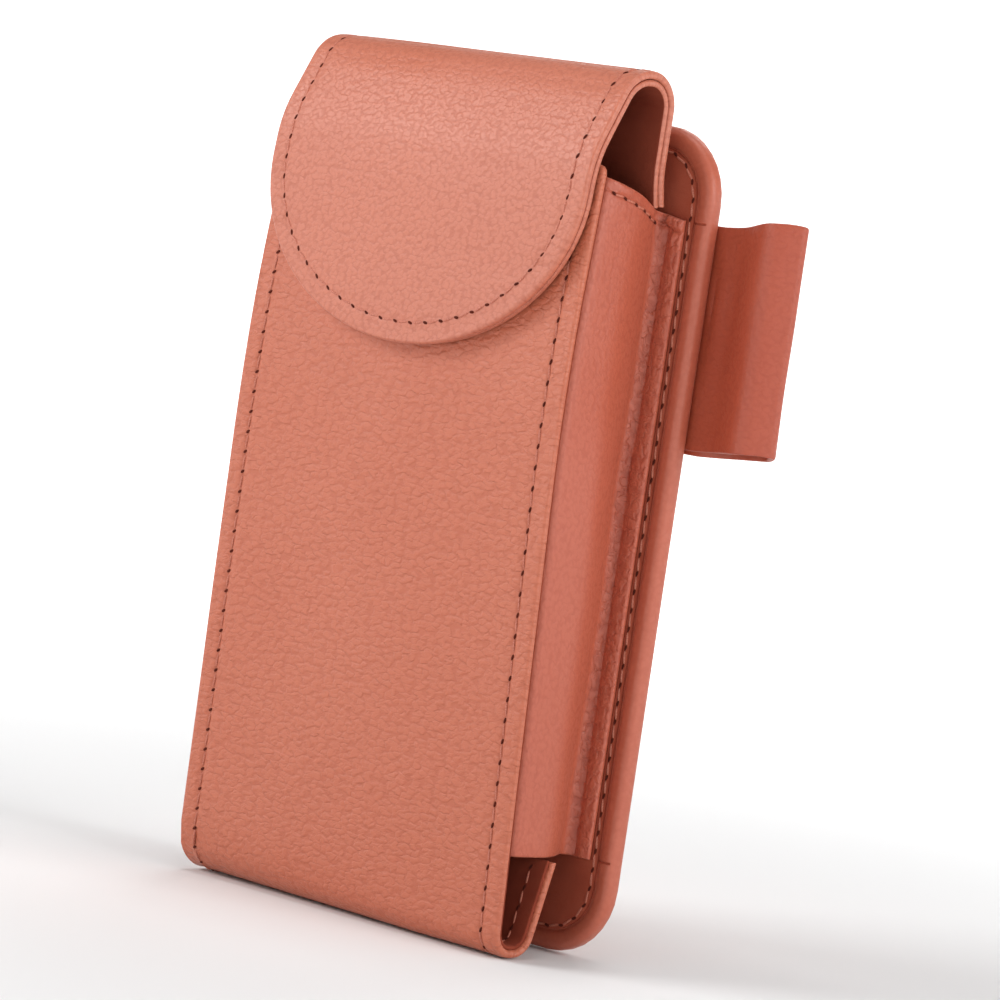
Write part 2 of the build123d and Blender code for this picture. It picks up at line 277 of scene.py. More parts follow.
def walk(line, pitch):
    # Points every pitch along a polyline of (x, v) places, as evenly as its length allows.
    line = [Vector(point) for point in line]
    lengths = [(b - a).length for a, b in zip(line, line[1:])]
    count = max(1, round(sum(lengths) / pitch))
    step = sum(lengths) / count
    points, along, base, i = [], 0.0, 0.0, 0
    for k in range(count + 1):
        along = min(k * step, sum(lengths) - 1e-6)
        while along > base + lengths[i]:
            base += lengths[i]
            i += 1
        points.append(line[i].lerp(line[i + 1], (along - base) / lengths[i]))
    return points


def copyTo(model, origin, along, out, turn=0.0):
    along = (along - out * along.dot(out)).normalized()
    side = out.cross(along)
    copy = model.copy()
    copy.data = model.data.copy()
    bpy.context.collection.objects.link(copy)
    spin = Matrix.Rotation(turn, 4, "Z")
    copy.matrix_world = Matrix.Translation(origin) @ Matrix((along, side, out)).transposed().to_4x4() @ spin
    return copy


def sew(name, place, line, body, nodes=(), sunk=0.1, pitch=4.0, lean=1, probe=0.5):
    # Stitches along a line on a folded piece: the cords are one piece and the holes, dark dots of painted
    # shade, another.
    # probe steps into the leather from the side that shows them; it is negative on a lining.
    holes = walk(line, pitch)
    cords, dots = [], []
    threadOne, holeOne = threadModel(), holeModel()
    for a, b in zip(holes, holes[1:]):
        middle = (a + b) / 2
        start, end = place(a.x, a.y, sunk), place(b.x, b.y, sunk)
        origin = place(middle.x, middle.y, sunk)
        out = (origin - place(middle.x, middle.y, sunk + probe)).normalized()
        turn = math.radians(thread["slant"]) * lean
        cords.append(copyTo(threadOne, origin, end - start, out, turn))
    for k, a in enumerate(holes):
        b = holes[min(k + 1, len(holes) - 1)]
        c = holes[max(k - 1, 0)]
        spot = place(a.x, a.y, sunk)
        out = (spot - place(a.x, a.y, sunk + probe)).normalized()
        way = place(b.x, b.y, sunk) - place(c.x, c.y, sunk)
        dots.append(copyTo(holeOne, spot, way, out, 0 if lean > 0 else math.radians(-2 * hole["slant"])))
    bpy.data.objects.remove(threadOne)
    bpy.data.objects.remove(holeOne)
    cords, dots = joined(name + "Thread", cords), joined(name + "Holes", dots)
    for piece in (cords, dots):
        bpy.ops.object.select_all(action="DESELECT")
        piece.select_set(True)
        bpy.context.view_layer.objects.active = piece
        bpy.ops.object.transform_apply(location=True, rotation=True, scale=True)
        if isinstance(body, str):
            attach(piece, body)
        else:
            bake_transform(piece)
    dress(cords, threadFinish)
    dress(dots, holeShadeFinish)
    if nodes:
        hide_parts(*nodes)
    return cords


def dress(piece, material):
    piece.data.materials.clear()
    piece.data.materials.append(material)


def paintWhere(piece, material, test):
    # Gives a second finish to the faces whose place on the cutting pattern passes the test.
    piece.data.materials.append(material)
    cut = piece.data.attributes["cut"].data
    for face in piece.data.polygons:
        places = [cut[i].vector for i in face.vertices]
        if test(sum(places, Vector()) / len(places)):
            face.material_index = len(piece.data.materials) - 1


def settle(piece, body, material, nodes=()):
    dress(piece, material)
    if isinstance(body, str):
        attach(piece, body)
    else:
        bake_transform(piece)
    if nodes:
        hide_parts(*nodes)
    return piece


# Materials.

class Wire:
    # A shader socket that adds its Math nodes by plain expressions.
    def __init__(self, tree, socket):
        self.tree, self.socket = tree, socket

    def maths(self, operation, first, second=None):
        node = self.tree.nodes.new("ShaderNodeMath")
        node.operation = operation
        for slot, value in zip(node.inputs, (first, second)):
            plug(self.tree, slot, value)
        return Wire(self.tree, node.outputs[0])

    def __add__(self, other): return self.maths("ADD", self, other)
    def __radd__(self, other): return self.maths("ADD", other, self)
    def __sub__(self, other): return self.maths("SUBTRACT", self, other)
    def __rsub__(self, other): return self.maths("SUBTRACT", other, self)
    def __mul__(self, other): return self.maths("MULTIPLY", self, other)
    def __rmul__(self, other): return self.maths("MULTIPLY", other, self)
    def __truediv__(self, other): return self.maths("DIVIDE", self, other)
    def __pow__(self, other): return self.maths("POWER", self, other)
    def __abs__(self): return self.maths("ABSOLUTE", self)


def plug(tree, slot, value):
    if value is None:
        return
    if isinstance(value, Wire):
        tree.links.new(value.socket, slot)
    elif isinstance(value, (int, float)) and hasattr(slot.default_value, "__len__"):
        slot.default_value = [value] * len(slot.default_value)
    else:
        slot.default_value = value


def linear(red, green, blue, alpha=1.0):
    # Screen colour from 0 to 255 to the shader's linear colour.
    def one(value):
        value /= 255
        return value / 12.92 if value <= 0.04045 else ((value + 0.055) / 1.055) ** 2.4
    return (one(red), one(green), one(blue), alpha)


class Finish:
    # A material being built. add() makes any node: its settings first, then its sockets.
    def __init__(self, name):
        self.material = bpy.data.materials.new(name)
        self.material.use_nodes = True
        self.tree = self.material.node_tree
        self.tree.nodes.clear()

    def add(self, kind, settings=None, out=0, **sockets):
        node = self.tree.nodes.new("ShaderNode" + kind)
        for key, value in (settings or {}).items():
            setattr(node, key, value)
        for key, value in sockets.items():
            name = key.replace("_", " ")
            slots = [s for s in node.inputs if s.name.replace("_", " ") == name and s.enabled]
            plug(self.tree, slots[0], value)
        return Wire(self.tree, node.outputs[out])

    def mix(self, factor, first, second):
        node = self.tree.nodes.new("ShaderNodeMix")
        node.data_type = "RGBA"
        node.clamp_factor = True
        for slot, value in zip((node.inputs[0], node.inputs[6], node.inputs[7]), (factor, first, second)):
            plug(self.tree, slot, value)
        return Wire(self.tree, node.outputs[2])

    def mapped(self, scale, follows="Object"):
        # Coordinates in metres times scale: the object's own, or the piece's cutting pattern.
        if follows == "cut":
            coords = self.add("Attribute", {"attribute_name": "cut"}, out="Vector")
        else:
            coords = self.add("TexCoord", out="Object")
        return self.add("Mapping", {"vector_type": "POINT"}, Vector=coords, Scale=scale)

    def shifted(self, coords, drift, amount):
        # Coordinates pushed about by a noise colour.
        node = self.tree.nodes.new("ShaderNodeVectorMath")
        node.operation = "MULTIPLY_ADD"
        for slot, value in zip(node.inputs, (drift, (amount, amount, amount), coords)):
            plug(self.tree, slot, value)
        return Wire(self.tree, node.outputs[0])

    def step(self, value, low, high):
        # A soft step from 0 at low to 1 at high.
        node = self.tree.nodes.new("ShaderNodeMapRange")
        node.interpolation_type = "SMOOTHSTEP"
        for slot, given in zip(node.inputs, (value, low, high, 0.0, 1.0)):
            plug(self.tree, slot, given)
        return Wire(self.tree, node.outputs[0])

    def close(self, colour, roughness, height=None, depth=0.1, **shader):
        surface = self.tree.nodes.new("ShaderNodeBsdfPrincipled")
        plug(self.tree, surface.inputs["Base Color"], colour)
        plug(self.tree, surface.inputs["Roughness"], roughness)
        for key, value in shader.items():
            plug(self.tree, surface.inputs[key.replace("_", " ")], value)
        if height is not None:
            bump = self.add("Bump", Strength=1.0, Distance=depth * mm, Height=height)
            plug(self.tree, surface.inputs["Normal"], bump)
        output = self.tree.nodes.new("ShaderNodeOutputMaterial")
        self.tree.links.new(surface.outputs[0], output.inputs[0])
        return self.material


pebbled = {
    "colour": (187, 101, 73), "deep": (148, 68, 46), "pale": (193, 109, 81), "grain": 1.05,
    "stretch": (0.6, 1.0, 1.0), "depth": 0.17, "wrinkle": 0.22, "shade": 0.3,
    "roughness": 0.45, "sheen": 0.08, "follows": "cut",
}
pebbledFlap = {**pebbled, "colour": (190, 111, 87), "grain": 0.95, "stretch": (0.85, 1.0, 1.0), "depth": 0.09,
               "wrinkle": 0.15, "shade": 0.45, "roughness": 0.42}
supple = {**pebbled, "colour": (178, 89, 65), "deep": (142, 56, 38), "pale": (188, 101, 77), "grain": 0.9,
          "stretch": (1.0, 0.8, 1.0), "depth": 0.05, "wrinkle": 0.2, "shade": 0.35, "roughness": 0.44}
coarse = {**supple, "grain": 1.3, "stretch": (1.0, 0.75, 1.0), "depth": 0.17, "wrinkle": 0.35, "shade": 0.5}
# The side loop's leather is the supple leather made darker and redder: painted shade for the loop's recess
# beside the body.
loopShadedLook = {**supple, "colour": (166, 72, 47), "pale": (178, 86, 60)}
smooth = {**supple, "colour": (180, 92, 68), "grain": 1.1, "depth": 0.03, "shade": 0.2, "follows": "Object"}


def leatherFinish(name, look):
    # Soft pillowy cells, longer broken wrinkles over them, fine pores, mottled dye, and colour drawn darker
    # towards the deep colour in the cells' valleys and along the wrinkles.
    skin = Finish(name)
    size = 1 / (look["grain"] * mm)
    noiseKind = {"noise_dimensions": "2D" if look["follows"] == "cut" else "3D"}
    cellKind = {"voronoi_dimensions": noiseKind["noise_dimensions"], "feature": "F1"}
    flat = skin.mapped([value * size for value in look["stretch"]], look["follows"])
    drift = skin.add("TexNoise", noiseKind, out="Color", Vector=flat, Scale=0.9, Detail=2.0, Roughness=0.5)
    bent = skin.shifted(flat, drift, 1.2)
    cells = skin.add("TexVoronoi", cellKind, Vector=bent, Scale=1.0)
    valley = skin.step(cells, 0.2, 0.8)
    waves = skin.add("TexNoise", noiseKind, Vector=bent, Scale=0.6, Detail=1.5, Roughness=0.4)
    wrinkle = 1 - skin.step(abs(waves - 0.5), 0.0, 0.06)
    pores = skin.add("TexNoise", noiseKind, Vector=flat, Scale=4.5, Detail=3.0, Roughness=0.6)
    height = (1 - valley) * 0.75 - wrinkle * look["wrinkle"] + pores * 0.13
    cloud = skin.mapped((24, 24, 24), look["follows"])
    cloud = skin.step(skin.add("TexNoise", noiseKind, Vector=cloud, Scale=1.0, Detail=3.0), 0.3, 0.72)
    tone = skin.mix(cloud * 0.3, linear(*look["colour"]), linear(*look["pale"]))
    # Darker towards the deep colour in the cells' valleys and along the wrinkles, by the shade amount.
    tone = skin.mix((valley * 0.6 + wrinkle * 0.25) * look["shade"], tone, linear(*look["deep"]))
    gloss = look["roughness"] + valley * 0.1 - cloud * 0.05
    return skin.close(tone, gloss, height, look["depth"], Specular_IOR_Level=0.5,
                      Sheen_Weight=look["sheen"], Sheen_Roughness=0.4, Sheen_Tint=linear(236, 190, 172))


def suedeFinish(name, colour, pale, nap=0.35, depth=0.08, follows="cut"):
    # A short nap: fine fibres, brushed paler in patches, with no shine.
    skin = Finish(name)
    fibres = skin.mapped([1 / (nap * mm)] * 3, follows)
    fibres = skin.add("TexNoise", Vector=fibres, Scale=1.0, Detail=6.0, Roughness=0.7)
    brushed = skin.add("TexNoise", Vector=skin.mapped((90, 90, 90), follows), Scale=1.0, Detail=5.0)
    shade = skin.step(brushed, 0.35, 0.7) * 0.5 + fibres * 0.25
    shade = skin.mix(shade, linear(*colour), linear(*pale))
    return skin.close(shade, 0.92, fibres, depth, Specular_IOR_Level=0.15,
                      Sheen_Weight=0.2, Sheen_Roughness=0.6, Sheen_Tint=linear(190, 110, 85))


def cordFinish(name, colour, pale):
    # Waxed thread: fine twist lines across it.
    skin = Finish(name)
    fine = skin.mapped((5200, 5200, 5200))
    twist = skin.add("TexNoise", Vector=fine, Scale=1.0, Detail=2.0)
    shade = skin.mix(skin.step(twist, 0.35, 0.65), linear(*colour), linear(*pale))
    return skin.close(shade, 0.55, twist, 0.05)


def steelFinish(name):
    skin = Finish(name)
    brushed = skin.add("TexNoise", Vector=skin.mapped((300, 5000, 5000)), Scale=1.0, Detail=3.0)
    return skin.close(linear(176, 178, 180), 0.3 + brushed * 0.2, brushed, 0.01, Metallic=1.0)


strapSkin = leatherFinish("strapLeather", pebbled)
flapSkin = leatherFinish("flapLeather", pebbledFlap)
gussetSkin = leatherFinish("gussetLeather", supple)
flangeSkin = leatherFinish("flangeLeather", coarse)
weltSkin = leatherFinish("weltLeather", smooth)
# The side loop's finish carries painted shade in its darker, redder colour.
loopShadedSkin = leatherFinish("loopLeatherShaded", loopShadedLook)
lining = suedeFinish("suedeLining", (120, 49, 33), (148, 70, 50))
innerSkin = suedeFinish("innerLeather", (150, 68, 48), (172, 90, 68), nap=0.6, depth=0.12)
threadFinish = cordFinish("threadWax", (168, 88, 66), (196, 120, 98))
# The needle holes' dark colour is painted shade for the inside of each hole.
holeShadeFinish = suedeFinish("needleHoles", (64, 20, 13), (96, 36, 24), follows="Object")
plainSteel = steelFinish("plainSteel")
print("materials ready")


# Sizes shared with the frame.

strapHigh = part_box("front_leather")[1]
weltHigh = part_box("back_welt")[1]
flapLow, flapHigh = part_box("flap_leather")
panelFace = -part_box("back_inner_leather")[0].y / mm
hinge = Vector(frame["joints"][0]["pos_m"])

bow = {"apexZ": 108.0, "radius": 400.0, "topLean": 3.5, "footLean": 3.2, "depth": 26.2}
strap = {
    "top": strapHigh.z / mm, "halfTop": 42.0, "halfFoot": strapHigh.x / mm,
    "leather": 1.4, "lining": 0.8, "edge": 0.6, "margin": 4.3, "bendDepth": 9.7, "bendRadius": 5.0,
    "bendDepthGain": 6.5, "bendRadiusGain": 3.6,
    "riserTop": 57.0, "riserTail": 12.0, "neckHalf": 36.5, "neckZ": 18.3, "corner": 1.6,
}
frontY = -panelFace - bow["depth"]


def strapLineAt(x):
    # The U-bend is pressed tight at its right end and opens towards its left end.
    loose = max(0.0, min(1.0, (30.0 - x) / 70.0))
    loose = loose * loose * (3 - 2 * loose)
    radius, depth = (strap[key] + strap[key + "Gain"] * loose for key in ("bendRadius", "bendDepth"))
    return FoldLine(
        [
            (frontY + bow["topLean"], strap["top"]),
            (frontY, bow["apexZ"]),
            (frontY + bow["footLean"], 0),
            (frontY + bow["footLean"] + depth, 0),
            (-panelFace - 0.1, strap["riserTop"]),
            (-panelFace - 0.1, strap["riserTop"] + strap["riserTail"]),
        ],
        [bow["radius"], radius, radius, 20.0],
    )


strapLine = strapLineAt(strap["halfFoot"])
strapLines = {}


def ripple(x, v, size, reach):
    # The slight unevenness of hand-worked leather.
    return size * noise.noise(Vector((x / reach, v / reach, size * 7.3)))


def strapPlace(x, v, sink):
    key = round(x)
    if key not in strapLines:
        strapLines[key] = strapLineAt(key)
    place = strapLines[key].at(v, sink + ripple(x, v, 0.22, 34.0))
    return Vector((x, place.x, place.y)) * mm


def strapHalf(v):
    return strap["halfTop"] + (strap["halfFoot"] - strap["halfTop"]) * v / strap["top"]


def across(half, step):
    count = int(2 * half / step)
    return columns([-half + 2 * half * (i + 1) / (count + 1) for i in range(count)])


def strapRelief(x, v):
    gap = strapHalf(v) - abs(x)
    return 0.0 if gap > 3 * strap["margin"] else seamRelief(gap, strap["margin"])


def strapSeamCuts():
    # Lines along both tapered sides, where the seam's relief needs them.
    lean = (strap["halfFoot"] - strap["halfTop"]) / strap["top"]
    gaps = seamLines(strap["margin"])
    return [((side * (strap["halfTop"] - gap), 0), (side, -lean)) for side in (1, -1) for gap in gaps]


def strapOutline(inset):
    foot = strapLine.whereZ(strap["neckZ"], after=strap["top"])
    end = strapLine.length - inset
    corner, top = strap["corner"], inset
    side = [(strapHalf(v) - inset, v) for v in (top + corner, foot)]
    rounded = [
        (strapHalf(0) - inset - corner * (1 - math.sin(a)), top + corner * (1 - math.cos(a)))
        for a in (0, math.pi / 6, math.pi / 3)
    ]
    neck = [(strap["neckHalf"] - inset, foot), (strap["neckHalf"] - inset, end)]
    right = rounded + side + neck
    return right + [(-x, v) for x, v in reversed(right)]


def makeStrap():
    creases = rows(strapLine.stations(5.0, 6.0))
    inside = across(strap["halfTop"] - 9.0, 7.0)
    cuts = creases + inside + strapSeamCuts()
    outer = cutLeather("frontPanel", strapOutline(0), strap["leather"], strap["edge"], (), cuts)
    fold(outer, strapPlace, strap["leather"], strapRelief)
    settle(outer, "case", strapSkin, ["front_leather"])
    inner = cutLeather("frontPanelLining", strapOutline(0.7), strap["lining"], 0.25, (), creases + inside)
    fold(inner, lambda x, v, sink: strapPlace(x, v, sink + strap["leather"] + 0.02), strap["lining"])
    settle(inner, "case", lining, ["front_lining", "front_board"])
    stop = strapLine.whereZ(strap["neckZ"] - 2, after=strap["top"])
    for side, word in ((1, "Right"), (-1, "Left")):
        stations = [2.0 + (stop - 2.0) * i / 40 for i in range(41)]
        line = [(side * (strapHalf(v) - strap["margin"]), v) for v in stations]
        sew("frontSeam" + word, strapPlace, line, "case", [f"front_stitching_{word.lower()}"], lean=side)
        within = [point for point in line if point[1] > strap["top"] - 40]
        depth = strap["leather"] + strap["lining"]
        sew("frontSeamInside" + word, strapPlace, within, "case", sunk=depth, lean=side, probe=-0.5)
    print("front strap folded and sewn")


makeStrap()


# Flap and rear strap: one piece of leather over one lining.

flap = {
    "leather": 1.6, "lining": 1.3, "clear": 0.55, "half": 41.6, "neckHalf": 36.5, "neckZ": 143.9,
    "round": 33.0, "tip": flapLow.z / mm, "peak": flapHigh.z / mm, "rear": 4.5, "roof": 12.7,
    "rearRadius": 7.0, "roofRadius": 9.0, "browZ": 152.0, "browRadius": 24.0, "margin": 4.0, "edge": 0.65,
    "foot": 106.0, "leave": 130.0, "meet": 150.0,
}
flapThick = flap["leather"] + flap["lining"] + 0.1
flapRear = -panelFace - flap["rear"]


def flapFaceY(z):
    # The flap lies over the bowed front panel, clear of it.
    lean = bow["topLean"] * (z - bow["apexZ"]) / (strap["top"] - bow["apexZ"])
    return frontY + lean - flap["clear"] - flapThick


flapLine = FoldLine(
    [
        (-panelFace, flap["foot"]),
        (-panelFace, flap["leave"]),
        (flapRear, flap["meet"]),
        (flapRear, flap["peak"]),
        (flapRear - flap["roof"], flap["peak"]),
        (flapFaceY(flap["browZ"]), flap["browZ"]),
        (flapFaceY(bow["apexZ"]), bow["apexZ"]),
        (flapFaceY(bow["apexZ"]) + 2.6, 30.0),
    ],
    [20.0, 20.0, flap["rearRadius"], flap["roofRadius"], flap["browRadius"], bow["radius"]],
)
flapEnd = flapLine.whereZ(flap["tip"], after=60.0)
foldAcross = {"lean": 15.0, "before": -0.6, "after": 6.5}
foldLean = math.radians(foldAcross["lean"])
foldWay = Vector((0, -math.cos(foldLean), math.sin(foldLean))) * mm
flapBlend = ("case", "flap", hinge + foldWay * foldAcross["before"], hinge + foldWay * foldAcross["after"])


def flapPlace(x, v, sink):
    place = flapLine.at(v, sink + ripple(x, v, 0.18, 30.0))
    return Vector((x, place.x, place.y)) * mm


def flapOutline(inset, points=40):
    # Narrow tail, full-width arch and half-ellipse tip, drawn in by inset.
    neck = flapLine.whereZ(flap["neckZ"], after=20.0)
    half, tall = flap["half"] - inset, flap["round"] - inset
    centre = flapEnd - flap["round"]
    right = [(flap["neckHalf"] - inset, inset), (flap["neckHalf"] - inset, neck), (half, neck + 0.6)]
    for i in range(points):
        angle = math.radians(86.5) * i / (points - 1)
        right.append((half * math.cos(angle), centre + tall * math.sin(angle)))
    return right + [(-x, v) for x, v in reversed(right)]


def onRim(cut):
    # True within 0.5 mm of the flap's outline on its cutting pattern.
    x, v = abs(cut.x / mm), cut.y / mm
    centre = flapEnd - flap["round"]
    if v > centre:
        return (x / (flap["half"] - 0.5)) ** 2 + ((v - centre) / (flap["round"] - 0.5)) ** 2 > 1
    return x > flap["half"] - 0.5


def makeFlap():
    margin = flap["margin"] - flap["edge"] - 0.55
    seams = [(0.8, 0.07), (margin - 0.8, 0.05), (0.5, -0.24), (0.12, 0.0), (0.5, 0.17), (1.3, 0.05)]
    cuts = rows([v for v in flapLine.stations(4.0, 5.0) if v < flapEnd - 0.3]) + across(flap["half"], 7.5)
    outer = cutLeather("flapLeather", flapOutline(0), flap["leather"], flap["edge"], seams, cuts, 4)
    fold(outer, flapPlace, flap["leather"])
    settle(outer, flapBlend, flapSkin, ["flap_leather", "rear_strap_leather"])
    under = flap["leather"] + 0.08
    inner = cutLeather("flapLining", flapOutline(0.15), flap["lining"], 0.5, (), cuts)
    fold(inner, lambda x, v, sink: flapPlace(x, v, sink + under), flap["lining"])
    settle(inner, flapBlend, lining,
           ["flap_lining", "rear_strap_lining", "flap_board"])
    paintWhere(inner, flapSkin, onRim)   # the lining's cut edge shows the same dyed leather
    start = flapLine.whereZ(flap["neckZ"] + 6, after=20.0)
    line = [(flap["half"] - flap["margin"], start)]
    arc = flapOutline(flap["margin"], 60)[3:]
    line += arc[:-3] + [(-line[0][0], start)]
    sew("flapSeam", flapPlace, line, flapBlend, ["flap_stitching"])
    row = [(side * (flap["neckHalf"] - 4.3), 4.7) for side in (-1, 1)]
    sew("rearStrapSeam", flapPlace, row, "case", ["rear_strap_stitching"], sunk=flapThick, probe=-0.5)
    print("flap folded and sewn")


makeFlap()


# Bellows gussets.

gusset = {
    "foot": 19.3, "topFront": 148.4, "topBack": 142.5, "leather": 1.2, "lining": 0.6, "inset": 0.7,
    "flange": 6.5, "bulge": 1.2, "bulgeDepth": 10.4, "fold": 39.2, "edge": 45.2, "margin": 2.5,
    "pillow": 0.45,
}


def gussetLineAt(z):
    side = strapHalf(strap["top"] - z) - gusset["inset"]
    along = strapLine.whereZ(z)
    front = strapLine.at(along, strap["leather"] + strap["lining"] + 0.1).x
    waver = ripple(z, 3.0, 0.9, 28.0)
    flange = -panelFace - gusset["leather"] - gusset["lining"] - 0.05
    return FoldLine(
        [
            (side - gusset["flange"], front),
            (side, front),
            (side + gusset["bulge"] + waver * 0.4, front + gusset["bulgeDepth"]),
            (gusset["fold"] + waver, flange),
            (gusset["edge"], flange),
        ],
        [2.2, 12.0, 1.7],
    )


gussetLines = {}
gusset["girth"] = gussetLineAt(90.0).length


def gussetPlace(a, v, sink):
    # The straight-topped pattern is drawn down to the sloping top edge.
    full = gusset["topFront"] - gusset["foot"]
    z = gusset["foot"] + (v - gusset["foot"]) * (gussetTop(a) - gusset["foot"]) / full
    key = round(z, 1)
    if key not in gussetLines:
        gussetLines[key] = gussetLineAt(key)
    line = gussetLines[key]
    place = line.at(a / gusset["girth"] * line.length, sink)
    return Vector((place.x, place.y, z)) * mm


def gussetRelief(a, v):
    # The turned hem along the top, and the padded flange between the fold and the back seam.
    hem = seamRelief(gusset["topFront"] - v, gusset["margin"], 0.5, 0.3)
    into = (a - gusset["girth"] + gusset["flange"] - 1.7) / (gusset["flange"] - 2.2)
    pillow = gusset["pillow"] * math.sin(math.pi * into) if 0 < into < 1 else 0.0
    return hem + pillow


def gussetTop(a):
    # The top edge falls from the front panel to the back panel.
    share = max(0.0, min(1.0, (a - gusset["flange"]) / (gusset["girth"] - gusset["flange"])))
    easy = share * share * (3 - 2 * share)
    return gusset["topFront"] + (gusset["topBack"] - gusset["topFront"]) * (0.4 * share + 0.6 * easy)


def mirrored(piece, name):
    bpy.ops.object.select_all(action="DESELECT")
    twin = piece.copy()
    twin.data = piece.data.copy()
    twin.name = twin.data.name = name
    bpy.context.collection.objects.link(twin)
    for vertex in twin.data.vertices:
        vertex.co.x *= -1
    finishMesh(twin)
    return twin


def makeGusset():
    girth, foot, top = gusset["girth"], gusset["foot"], gusset["topFront"]
    outline = [(0, foot), (girth, foot), (girth, top), (0, top)]
    bends = columns(gussetLineAt(90.0).stations(2.0, 8.0))
    steps = rows([foot + 3.5 * i for i in range(1, 36)])
    hem = rows([top - gap for gap in seamLines(gusset["margin"])])
    outer = cutLeather("gussetRight", outline, gusset["leather"], 0.45, (), steps + hem + bends)
    fold(outer, gussetPlace, gusset["leather"], gussetRelief)
    inner = cutLeather("gussetLiningRight", outline, gusset["lining"], 0.2, (), steps + bends)
    fold(inner, lambda a, v, sink: gussetPlace(a, v, sink + gusset["leather"] + 0.03), gusset["lining"])
    for word in ("Right", "Left"):
        if word == "Left":
            outer, inner = mirrored(outer, "gussetLeft"), mirrored(inner, "gussetLiningLeft")
        settle(outer, "case", gussetSkin, [f"gusset_{word.lower()}"])
        coarse = girth - gusset["flange"] + 0.4
        paintWhere(outer, flangeSkin, lambda cut: cut.x / mm > coarse)
        settle(inner, "case", lining, [f"gusset_lining_{word.lower()}"])
    start, end = gusset["flange"] + 2.5, girth - 7.0
    line = [(start + (end - start) * i / 24, top - gusset["margin"]) for i in range(25)]
    sew("hemSeamRight", gussetPlace, line, "case", ["gusset_stitching_right"], sunk=0.05, pitch=3.6)
    sew("hemSeamLeft", lambda a, z, sink: gussetPlace(a, z, sink) * Vector((-1, 1, 1)), line, "case",
        ["gusset_stitching_left"], sunk=0.05, pitch=3.6)
    print("gussets folded and sewn")


makeGusset()


# Back panel: welt, inner and outer leather.

panel = {
    "half": weltHigh.x / mm, "tall": weltHigh.z / mm, "corner": 14.0, "welt": 4.2, "face": panelFace,
    "weltHalf": weltHigh.y / mm, "round": 1.55, "margin": 4.7, "leather": 1.0,
    "ticks": (19.3, 142.3), "tickFrom": 44.5, "tickTo": 49.2, "tickDeep": 0.4,
}


def roundedPanel(inset, points=9):
    # The back panel's outline drawn in by inset, corner by corner.
    corner = panel["corner"] - inset
    half = panel["half"] - inset - corner
    low, high = panel["corner"], panel["tall"] - panel["corner"]
    outline = []
    for x, v, start in ((half, low, -90), (half, high, 0), (-half, high, 90), (-half, low, 180)):
        for i in range(points):
            angle = math.radians(start + 90 * i / (points - 1))
            outline.append((x + corner * math.cos(angle), v + corner * math.sin(angle)))
    return outline


def panelPlace(x, v, sink):
    # The front of the back panel; the back is its mirror image.
    return Vector((x, -panel["face"] + sink + ripple(x, v, 0.12, 26.0), v)) * mm


def backPlace(x, v, sink):
    return panelPlace(x, v, sink) * Vector((1, -1, 1))


def weltPlace(x, v, sink):
    # The bellows' leather wraps the welt between two small steps on each side.
    y = sink - panel["weltHalf"]
    step = min(abs(v - tick) for tick in panel["ticks"])
    if panel["tickFrom"] < abs(x) < panel["tickTo"] and y < -0.8 and step < 0.1:
        y += panel["tickDeep"]
    return Vector((x, y, v)) * mm


def makePanel():
    thick = 2 * panel["weltHalf"]
    cuts = rows([8.0 * i for i in range(1, 20)]) + across(panel["half"], 10.0)
    ticks = rows([z + gap for z in panel["ticks"] for gap in (-0.3, 0, 0.3)])
    roll = ((1.1, -0.05), (0.7, -0.3), (0.5, -0.5))
    welt = cutLeather("welt", roundedPanel(0), thick, panel["round"], roll, cuts + ticks, 5, both=True)
    fold(welt, weltPlace, thick)
    settle(welt, "case", weltSkin, ["back_welt", "back_board"])
    for name, place, slotName, skin, nodes in (
        ("panelInside", panelPlace, "inner_leather", innerSkin, ["back_inner_leather"]),
        ("panelOutside", backPlace, "pebbled_leather", strapSkin, ["back_outer_leather"]),
    ):
        outline = roundedPanel(panel["welt"] - 0.1)
        face = cutLeather(name, outline, panel["leather"], 0.45, ((0.9, 0.1), (2.5, 0.1)), cuts)
        fold(face, place, panel["leather"])
        settle(face, "case", skin, nodes)
    ring = roundedPanel(panel["margin"], 16)
    ring.append(ring[0])
    sew("panelSeamInside", panelPlace, ring, "case", ["back_inner_stitching"], sunk=-0.03, pitch=3.6)
    sew("panelSeamOutside", backPlace, ring, "case", ["back_outer_stitching"], sunk=-0.03, pitch=3.6)
    print("back panel bound and sewn")


makePanel()


# Side loop.

loop = {
    "foot": 99.4, "tall": 43.0, "rise": 0.085, "leather": 1.3, "swell": 0.9, "slip": 0.9, "tail": 43.6,
    "root": 50.8, "crest": 64.8, "tip": 69.9,
}
behind = panel["weltHalf"] + 0.08
loopLine = FoldLine(
    [
        (loop["tail"], behind), (loop["root"], behind), (56.0, behind - 0.2), (loop["crest"], -1.6),
        (loop["tip"], 4.0), (66.2, 8.0), (57.0, 7.6), (loop["root"] + 0.6, behind + 2.7),
        (loop["tail"], behind + 2.65),
    ],
    [6.0, 12.0, 5.0, 1.45, 4.0, 9.0, 6.0],
)


def loopShift(v):
    # How far the strip's edges ride up at a place along it, and how far the rear wall slips down.
    place = loopLine.at(v)
    out = max(0.0, place.x - loop["root"])
    wave = max(0.0, min(1.0, (place.x - 54.0) / 10.0))
    wave = wave * wave * (3 - 2 * wave) * loop["swell"]
    slip = max(0.0, min(1.0, (v / loopLine.length - 0.45) / 0.15)) * loop["slip"]
    low = loop["foot"] + out * loop["rise"] - slip
    return low, low + loop["tall"] + wave


def loopPlace(z, v, sink):
    place = loopLine.at(v, sink + ripple(z, v, 0.25, 17.0))
    return Vector((place.x, place.y, z)) * mm


